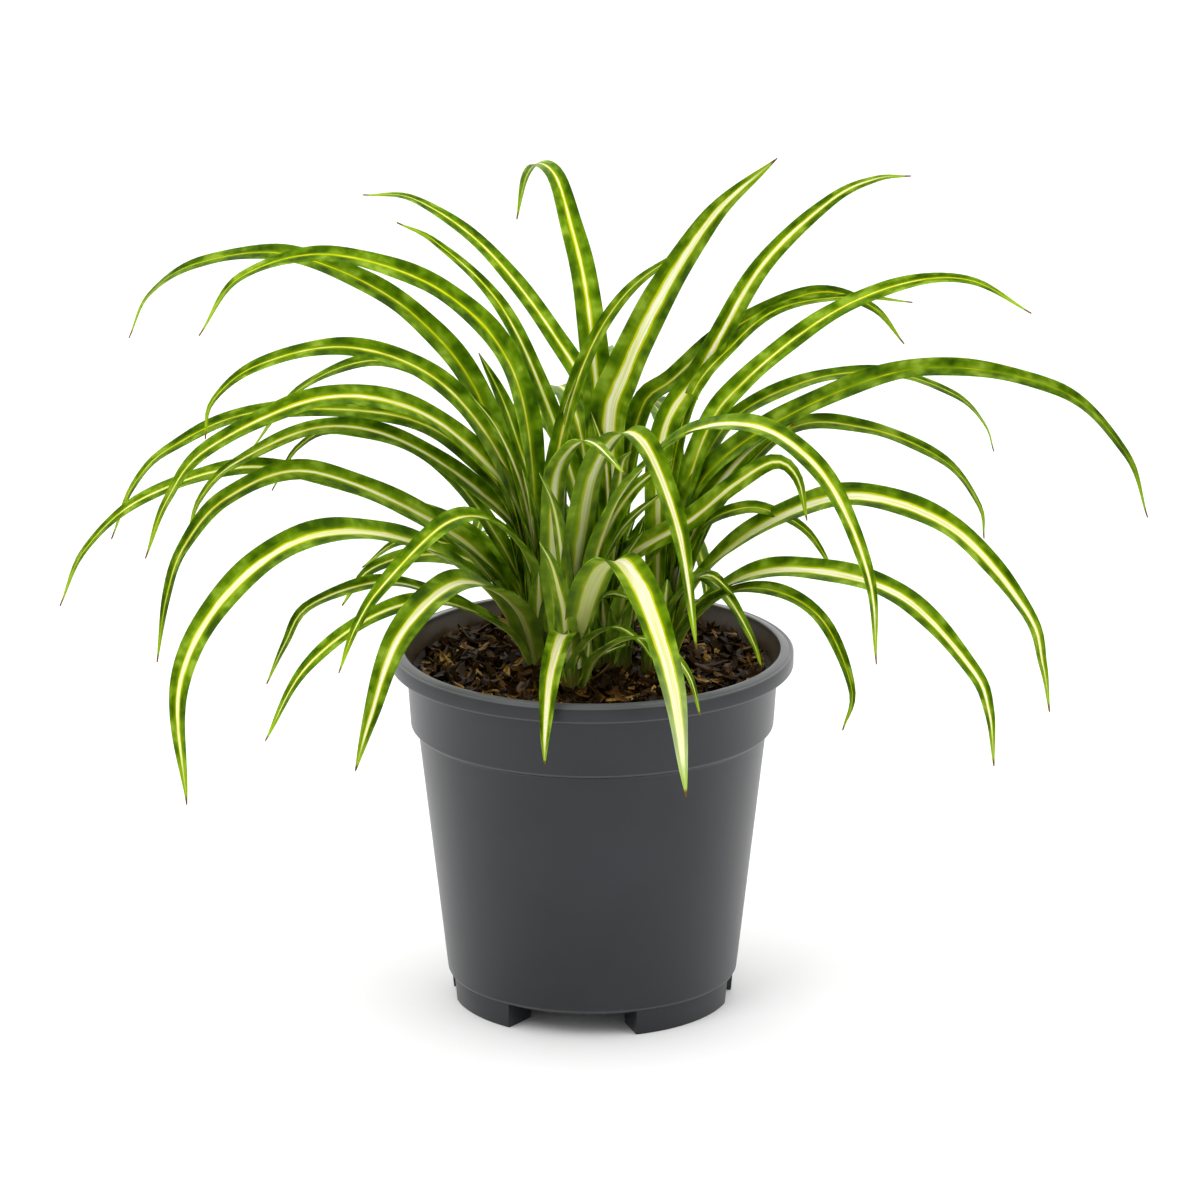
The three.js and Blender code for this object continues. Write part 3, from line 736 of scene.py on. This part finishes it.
# Leaf bases where they clasp each other: pale green, wet looking, with lengthwise veins.
def sheathMaterial():
    material, tree = newMaterial("leafBaseTissue")
    place = addNode(tree, "ShaderNodeTexCoord").node.outputs["Object"]
    height = addNode(tree, "ShaderNodeSeparateXYZ", {0: place}).node.outputs[2]
    stretched = addNode(tree, "ShaderNodeMapping", {0: place, "Scale": (900, 900, 60)})  # 1 mm by 17 mm
    veins = addNode(tree, "ShaderNodeTexNoise", {"Vector": stretched, "Scale": 1.0, "Detail": 2.0})
    greens = addNode(tree, "ShaderNodeValToRGB", {0: veins})
    setStops(greens, crownLook["greens"])
    top = mix["top"] * mm
    soiled = addNode(tree, "ShaderNodeMapRange", {0: height, 1: top, 2: top + 0.008, 3: 0.6, 4: 0.0},
                     interpolation_type="SMOOTHSTEP")
    colour = addNode(tree, "ShaderNodeMix", {0: soiled, 6: greens, 7: crownLook["soil"]}, data_type="RGBA")
    bump = addNode(tree, "ShaderNodeBump", {"Strength": 0.4, "Distance": 0.2 * mm, "Height": veins})
    shader = addNode(tree, "ShaderNodeBsdfPrincipled",
                     {"Base Color": colour, "Roughness": 0.42, "IOR": 1.45, "Specular IOR Level": 0.2,
                      "Normal": bump})
    addNode(tree, "ShaderNodeOutputMaterial", {"Surface": shader})
    return material


# Leaves: "to" is the azimuth a leaf grows towards, "path" its [reach, height] over the mix, "stripe" the
# share of its width that the cream band takes, at its root and at its tip. "lean" turns the blade about its
# own length, and "twist" adds to that towards the tip. "shift" moves its root. A young leaf with "grown"
# under 1 has no dry tip yet, and "pale" bleaches a tip.
rosetteLeft = {
    "node": "rosette_left",
    "crown": (-18, 5),
    "leaves": [
        dict(to=160, width=12, lean=35, stripe=(0.04, -0.06),
             path=[(20, 87), (51, 129), (99, 148), (138, 142), (159, 128), (168, 110)]),
        dict(to=172, width=13, lean=35, stripe=(0.02, -0.04),
             path=[(2, 48), (10, 109), (37, 141), (80, 154), (114, 144), (130, 121)]),
        dict(to=207, width=15.5, lean=14, stripe=(0.3, 0.14), twist=45,
             path=[(22, 30), (57, 55), (97, 61), (130, 43), (149, 11), (147, -35)]),
        dict(to=225, width=11, lean=20, stripe=(0.1, 0.03),
             path=[(6, 36), (25, 59), (50, 64), (82, 47), (96, 34), (105, 18)]),
        dict(to=235, width=16, lean=15, stripe=(0.32, 0.16),
             path=[(14, 21), (34, 37), (60, 44), (91.5, 31.5), (108.5, 6), (118, -12)]),
        dict(to=215, width=10, lean=20, stripe=(0.24, 0.05),
             path=[(17, 15), (46, 31), (75, 31), (106, 16), (124, -9)]),
        dict(to=205, width=9.5, lean=20, stripe=(0.24, 0.04),
             path=[(11, 10), (39, 29), (66, 39), (95, 33.5), (105, 20), (112.5, 5.5)]),
        dict(to=172, width=11, lean=40, stripe=(0.14, 0.04),
             path=[(8, 23), (28, 38), (49, 39), (67, 32), (77, 18)]),
        dict(to=163, width=8.5, lean=40, stripe=(0.14, 0.04),
             path=[(10, 27), (34, 41), (56, 42), (72, 30)]),
        dict(to=190, width=12, lean=35, stripe=(0.36, -0.02),
             path=[(15, 31), (41, 56), (88, 78), (118.5, 69.5), (135, 51.5), (142, 32), (146, 7)]),
        dict(to=183, width=10, lean=35, stripe=(0.34, 0),
             path=[(20, 33), (55, 62), (106, 77), (148, 66), (171, 46), (181, 24)]),
        dict(to=196, width=13, lean=35, stripe=(0.3, 0.03),
             path=[(7, 53), (26, 83), (53, 103), (87, 108), (128, 92), (143.5, 73.5), (152, 52)]),
        dict(to=176, width=10.5, lean=40, stripe=(0.1, -0.02),
             path=[(8, 48), (24, 76), (54, 94), (107, 94.5), (140, 80), (154.5, 64.5), (163, 44)]),
        dict(to=186, width=11, lean=35, stripe=(0.24, 0.04),
             path=[(6, 43), (25, 67.5), (55, 88), (84, 93), (115, 80), (128, 67), (133, 53)]),
        dict(to=180, width=12, lean=40, stripe=(0.12, 0),
             path=[(6, 43), (16, 79), (40, 109.5), (73, 121.5), (106, 114.5), (123, 100.5), (126, 86)]),
        dict(to=165, width=9.5, lean=35, stripe=(0.12, -0.02),
             path=[(8, 49), (30, 97), (62, 112), (94, 99.5), (115, 73)]),
        dict(to=170, width=8.5, lean=35, stripe=(0.1, 0),
             path=[(10, 33), (40, 75), (76, 86), (93.5, 78.5), (104, 61)]),
        dict(to=150, width=11, lean=20, stripe=(0.2, 0.05),
             path=[(12, 26), (36, 47), (62, 54.5)]),
        dict(to=8, width=9.5, lean=45, stripe=(0.16, 0), shift=(2, 0),
             path=[(0, 48), (4, 85), (15, 119), (31, 143), (58, 161)]),
        dict(to=-8, width=8, lean=60, stripe=(0.2, 0.05), shift=(-1, 3), grown=0.88,
             path=[(4, 33), (6, 69), (8, 93), (13, 109)]),
        dict(to=200, width=11, lean=50, stripe=(0.26, 0.08), grown=0.88,
             path=[(3, 33), (8, 66), (18, 91), (29, 106)]),
        dict(to=238, width=9, lean=10, stripe=(0.3, 0.12), shift=(-3, 1), grown=0.88,
             path=[(0, 24), (1, 45), (4, 62), (9, 76)]),
    ],
}

rosetteFront = {
    "node": "rosette_front",
    "crown": (-7, -20),
    "sheaths": 0.6,
    "leaves": [
        dict(to=-66, width=17, lean=0, stripe=(0.4, 0.4), pale=0.55,
             path=[(4, 16), (20, 45), (38, 57), (55, 55), (73, 42), (90, 20), (100.6, -15)]),
        dict(to=-50, width=15, lean=0, stripe=(0.36, 0.22), shift=(-2, 1),
             path=[(0, 19), (6, 51), (14, 82), (29, 101), (45, 99), (63, 71), (73, 29)]),
        dict(to=-70, width=10.5, lean=0, stripe=(0.34, 0.16), shift=(-3, 1),
             path=[(-9, 22), (-14, 49), (-10, 76), (8, 92), (30, 99), (64, 96)]),
        dict(to=-40, width=13, lean=20, stripe=(0.24, 0.18), shift=(2.2, 0),
             path=[(4, 34), (13, 64), (28, 86), (56, 107), (88, 112), (116, 98), (135, 66), (139, 34)]),
        dict(to=-98, width=11, lean=0, stripe=(0.4, 0.28), shift=(-1, 0),
             path=[(7, 16), (20, 24), (40, 22), (56, 14), (65, -1), (66, -11.5)]),
        dict(to=-60, width=7, lean=0, stripe=(0.26, 0.1), shift=(1, 0),
             path=[(14, 12), (40, 27), (64, 30), (82, 24), (90, 11)]),
        dict(to=-45, width=7, lean=0, stripe=(0.26, 0.1), shift=(-1, -2),
             path=[(6, 14), (22, 26), (35, 24), (43, 18)]),
        dict(to=-25, width=6, lean=30, stripe=(0.2, 0.08), shift=(-2, -3),
             path=[(6, 4), (13, 12), (24, 18)]),
        dict(to=-130, width=9.5, lean=0, stripe=(0.3, 0.12), grown=0.88,
             path=[(3, 24), (6, 50), (11, 70), (19, 84)]),
        dict(to=-14, width=11, lean=65, stripe=(0.28, 0.1), grown=0.88,
             path=[(4, 24), (10, 52), (22, 74), (38, 88)]),
        dict(to=-30, width=13, lean=30, stripe=(0.3, 0.12), shift=(2, 3), grown=0.88,
             path=[(0, 30), (5, 52), (17, 71), (27, 84)]),
        dict(to=-15, width=9, lean=35, stripe=(0.26, 0.1), shift=(3, 2), grown=0.88,
             path=[(1, 26), (8, 45), (17, 61), (33, 76)]),
        dict(to=-40, width=8, lean=20, stripe=(0.24, 0.1), shift=(2, 1), grown=0.88,
             path=[(4, 18), (7, 29), (15, 36), (27, 36)]),
        dict(to=-110, width=10, lean=10, stripe=(0.3, 0.12), grown=0.88,
             path=[(8, 25), (14, 38), (23, 52), (35, 63)]),
    ],
}

rosetteCentre = {
    "node": "rosette_centre",
    "crown": (8, 0),
    "leaves": [
        dict(to=-20, width=19, lean=75, stripe=(0.36, 0.2),
             path=[(-1, 43), (-2, 93), (4, 113), (18, 143), (39, 176), (63, 199)]),
        dict(to=115, width=13.5, lean=10, stripe=(0.26, 0.02), shift=(-1.2, 0),
             path=[(4, 53), (12, 105), (22, 141), (35, 162), (48, 177), (64, 179), (76, 171), (84, 153)]),
        dict(to=25, width=11, lean=10, stripe=(0.08, -0.02), twist=75, shift=(1, -1),
             path=[(1, 53), (9.5, 97), (23.5, 108.5), (48, 125), (82, 135), (106, 127), (120, 111)]),
        dict(to=-25, width=12, lean=40, stripe=(0.34, 0.1), twist=50, shift=(-4, -2),
             path=[(0, 33), (15, 47.5), (35.5, 61), (53.5, 77), (69.5, 87.5), (78.5, 82.5), (82.5, 66.5)]),
        dict(to=-75, width=11, lean=0, stripe=(0.3, 0.1), grown=0.88,
             path=[(1, 28), (4, 59), (12, 81), (24, 89)]),
        dict(to=160, width=11, lean=60, stripe=(0.24, 0.08), grown=0.88,
             path=[(1, 33), (2, 63), (4, 83), (9, 97)]),
        dict(to=-10, width=8, lean=70, stripe=(0.24, 0.08), grown=0.88,
             path=[(0, 25), (1, 47), (4, 63), (8, 71)]),
        dict(to=-35, width=12, lean=30, stripe=(0.26, 0.1), grown=0.88,
             path=[(2, 14), (8, 27), (16, 42), (26, 54)]),
        dict(to=-60, width=11, lean=20, stripe=(0.26, 0.1), grown=0.88,
             path=[(-2, 8), (0, 25), (8, 43), (21, 57)]),
    ],
}

rosetteRight = {
    "node": "rosette_right",
    "crown": (25, -4),
    "leaves": [
        dict(to=12, width=10.5, lean=40, stripe=(0.1, 0),
             path=[(4, 41), (16.5, 88), (32, 109), (63, 132), (92, 143), (118, 143), (142, 129)]),
        dict(to=-3, width=11, lean=40, stripe=(0.02, -0.1),
             path=[(4, 35), (14, 71), (45, 97), (95, 117), (146, 110), (172, 86), (181, 61)]),
        dict(to=20, width=9.5, lean=18, stripe=(0.06, -0.02), twist=20,
             path=[(8, 48), (24, 89), (56, 105), (90, 106), (118, 95), (131, 82), (135, 71)]),
        dict(to=5, width=10.5, lean=18, stripe=(0.06, -0.02), twist=25,
             path=[(16, 51), (46, 90), (77, 91), (106, 78), (120, 60), (122, 47)]),
        dict(to=-20, width=14.5, lean=30, stripe=(0.36, 0.2),
             path=[(12, 31), (38, 57.5), (75, 74), (113.5, 65.5), (142.5, 36.5), (149, 17), (152, -1)]),
        dict(to=-32, width=13.5, lean=25, stripe=(0.34, 0.18),
             path=[(12, 20), (36, 41), (68, 48.5), (104, 44), (133, 21.5), (140.5, 6.5), (143, -14)]),
        dict(to=-38, width=8.5, lean=20, stripe=(0.06, -0.02),
             path=[(14, 19), (35, 36.5), (58, 39.5), (77, 31), (89, 8), (85, -8)]),
        dict(to=-15, width=8, lean=35, stripe=(0.14, 0),
             path=[(8, 38), (17.5, 57), (32.5, 64.5), (44, 63.5), (55.5, 58), (63, 48.5), (67, 40)]),
        dict(to=-28, width=8.5, lean=20, stripe=(0.26, 0.06),
             path=[(5, 19), (15, 38), (27, 33), (38, 18), (43, 6)]),
        dict(to=-8, width=15.5, lean=40, stripe=(0.4, 0.2),
             path=[(6, 36), (13, 56), (21.5, 71), (31, 83), (40.5, 91), (50, 96)]),
        dict(to=35, width=11, lean=45, stripe=(0.22, 0.14),
             path=[(-1, 48), (2, 91), (20, 113.5), (46, 147.5), (78, 168.5), (99, 174), (116, 173)]),
        dict(to=26, width=7, lean=35, stripe=(0.06, -0.02),
             path=[(2, 53), (12, 101), (30, 121), (50, 133), (80, 134), (106, 129)]),
        dict(to=-48, width=11, lean=20, stripe=(0.26, 0.06), grown=0.88,
             path=[(4, 17), (12, 32), (27, 42), (41, 37)]),
        dict(to=75, width=11, lean=0, stripe=(0.14, 0.02),
             path=[(4, 33), (14, 71), (34, 91), (58, 89)]),
    ],
}

rosetteBack = {
    "node": "rosette_back",
    "crown": (4, 17),
    "leaves": [
        dict(to=150, width=9.5, lean=30, stripe=(0.3, 0), shift=(1, 0),
             path=[(8, 44), (23, 88), (45, 128), (73, 149), (91, 155)]),
        dict(to=135, width=9.5, lean=30, stripe=(0.28, 0), shift=(-1, 0),
             path=[(0, 43), (2, 91), (26, 120), (62, 146), (100, 158), (129, 155)]),
        dict(to=104, width=13, lean=0, stripe=(0.14, 0.02),
             path=[(12, 38), (36, 77), (68, 86), (104, 65), (124, 23)]),
        dict(to=78, width=13, lean=0, stripe=(0.16, 0.02),
             path=[(14, 33), (42, 68), (82, 77), (118, 55), (138, 13)]),
        dict(to=150, width=14, lean=30, stripe=(0.14, 0.02), grown=0.88,
             path=[(14, 34), (31, 63), (43, 91), (54, 109)]),
        dict(to=122, width=12, lean=0, stripe=(0.14, 0.02),
             path=[(8, 36), (24, 70), (50, 84), (74, 72), (86, 44)]),
        dict(to=90, width=12, lean=0, stripe=(0.14, 0.02),
             path=[(8, 43), (24, 81), (56, 99), (96, 91), (126, 57)]),
        dict(to=72, width=12, lean=0, stripe=(0.16, 0.02),
             path=[(10, 40), (28, 74), (56, 84), (86, 68), (104, 34)]),
        dict(to=116, width=11, lean=0, stripe=(0.14, 0.02),
             path=[(12, 21), (36, 43), (70, 48), (104, 31), (124, -7)]),
        dict(to=88, width=11, lean=0, stripe=(0.16, 0.02),
             path=[(12, 17), (34, 34), (62, 35), (90, 15), (102, -19)]),
        dict(to=140, width=9.5, lean=0, stripe=(0.14, 0.02),
             path=[(12, 17), (34, 35), (60, 35), (72, 29)]),
        dict(to=66, width=11, lean=0, stripe=(0.14, 0.02),
             path=[(12, 17), (36, 35), (66, 35), (94, 13), (104, -21)]),
        dict(to=48, width=9.5, lean=0, stripe=(0.16, 0.02),
             path=[(10, 23), (26, 45), (48, 51), (66, 43)]),
    ],
}

rosettes = [rosetteLeft, rosetteFront, rosetteCentre, rosetteRight, rosetteBack]


# A crown's leaves, with short leaf bases that clasp each other round it.
def buildRosette(rosette, seed, materials, baseMaterial):
    draw = random.Random(seed)
    leaves = [buildBlade(rosette["crown"], leaf, draw, materials) for leaf in rosette["leaves"]]
    for i in range(crownLook["sheaths"]):
        reach = draw.uniform(4.2, 5.2)
        turn = 360 * i / crownLook["sheaths"] + draw.uniform(-18, 18)
        behind = math.sin(math.radians(turn)) > 0.2
        tall = draw.uniform(*crownLook["sheathLength"]) * (1 if behind else crownLook["frontShare"])
        tall *= rosette.get("sheaths", 1)
        width = crownLook["sheathWidth"] * draw.uniform(0.8, 1.05)
        stripe = (draw.uniform(0.1, 0.34), 0.1)
        tip = (reach + tall * draw.uniform(0.08, 0.18), tall)
        path = [(reach, tall * 0.25), (reach + 1.4, tall * 0.6), tip]
        sheath = dict(to=turn, width=width, lean=0, stripe=stripe, grown=0.6, path=path)
        leaves.append(buildBlade(rosette["crown"], sheath, draw, materials, 1.25))
    name = rosette["node"].replace("rosette_", "")
    joined = joinPieces(leaves, "leaves" + name.capitalize())
    smoothShade(joined, 40)
    finishPiece(joined, rosette["node"])
    centre = axis + Vector((*rosette["crown"], mix["top"])) * mm
    neck = spinProfile("crown" + name.capitalize(), crownLook["profile"], 28, centre)
    smoothShade(neck, 50)
    neck.data.materials.append(baseMaterial)
    finishPiece(neck, rosette["node"])
    print("stage:", rosette["node"], len(joined.data.polygons), "faces")


studio = {
    "aim": (2.9, 0, 154.5),  # from the pot's axis
    "distance": 2400,
    "elevation": 16.8,
    "lens": 192.5,
    "floorSize": 12000,
    "paper": "#fcfcfc",
    "frontStrength": 0.66,
    "backStrength": 1.5,
    "keyPower": 9,
    "fillPower": 3,
}


def floorMaterial():
    material, tree = newMaterial("studioPaper")
    shader = addNode(tree, "ShaderNodeBsdfPrincipled", {"Base Color": studio["paper"], "Roughness": 0.9})
    addNode(tree, "ShaderNodeOutputMaterial", {"Surface": shader})
    return material


def buildStudio():
    clearSelection()
    bpy.ops.mesh.primitive_plane_add(size=studio["floorSize"] * mm, location=(0, 0, 0))
    floor = bpy.context.object
    floor.name = "studioFloor"
    floor.data.materials.append(floorMaterial())

    world = bpy.data.worlds.new("studioWorld")
    bpy.context.scene.world = world
    world.use_nodes = True
    tree = world.node_tree
    tree.nodes.clear()
    place = addNode(tree, "ShaderNodeTexCoord").node.outputs["Generated"]
    depth = addNode(tree, "ShaderNodeSeparateXYZ", {0: place}).node.outputs[1]
    front, back = studio["frontStrength"], studio["backStrength"]
    strength = addNode(tree, "ShaderNodeMapRange", {0: depth, 1: -0.9, 2: 0.2, 3: front, 4: back},
                       interpolation_type="SMOOTHSTEP")
    sky = addNode(tree, "ShaderNodeBackground", {"Color": "#ffffff", "Strength": strength})
    addNode(tree, "ShaderNodeOutputWorld", {"Surface": sky})

    aim = axis + Vector(studio["aim"]) * mm
    for name, place, size, power in (
        ("keyLight", (-0.9, -1.1, 1.5), 0.9, studio["keyPower"]),
        ("fillLight", (1.4, -0.8, 0.9), 1.1, studio["fillPower"]),
    ):
        light = bpy.data.lights.new(name, "AREA")
        light.size = size
        light.energy = power
        lamp = bpy.data.objects.new(name, light)
        bpy.context.collection.objects.link(lamp)
        lamp.location = axis + Vector(place)
        lamp.rotation_euler = (aim - lamp.location).to_track_quat("-Z", "Y").to_euler()

    tilt = math.radians(studio["elevation"])
    camera = bpy.data.objects.new("studioCamera", bpy.data.cameras.new("studioCamera"))
    bpy.context.collection.objects.link(camera)
    camera.data.lens = studio["lens"]
    camera.data.sensor_width = 36
    camera.data.clip_end = 50
    camera.location = aim + Vector((0, -math.cos(tilt), math.sin(tilt))) * studio["distance"] * mm
    camera.rotation_euler = (aim - camera.location).to_track_quat("-Z", "Y").to_euler()
    bpy.context.scene.camera = camera
    bpy.context.scene.view_settings.view_transform = "Standard"
    print("stage: studio")


buildStudio()
buildPot()
buildMix()
bladeMaterials = [leafMaterial("leafUpperSkin", False), leafMaterial("leafUnderSkin", True)]
baseTissue = sheathMaterial()
for number, rosette in enumerate(rosettes):
    buildRosette(rosette, 20 + number, bladeMaterials, baseTissue)
clearSelection()
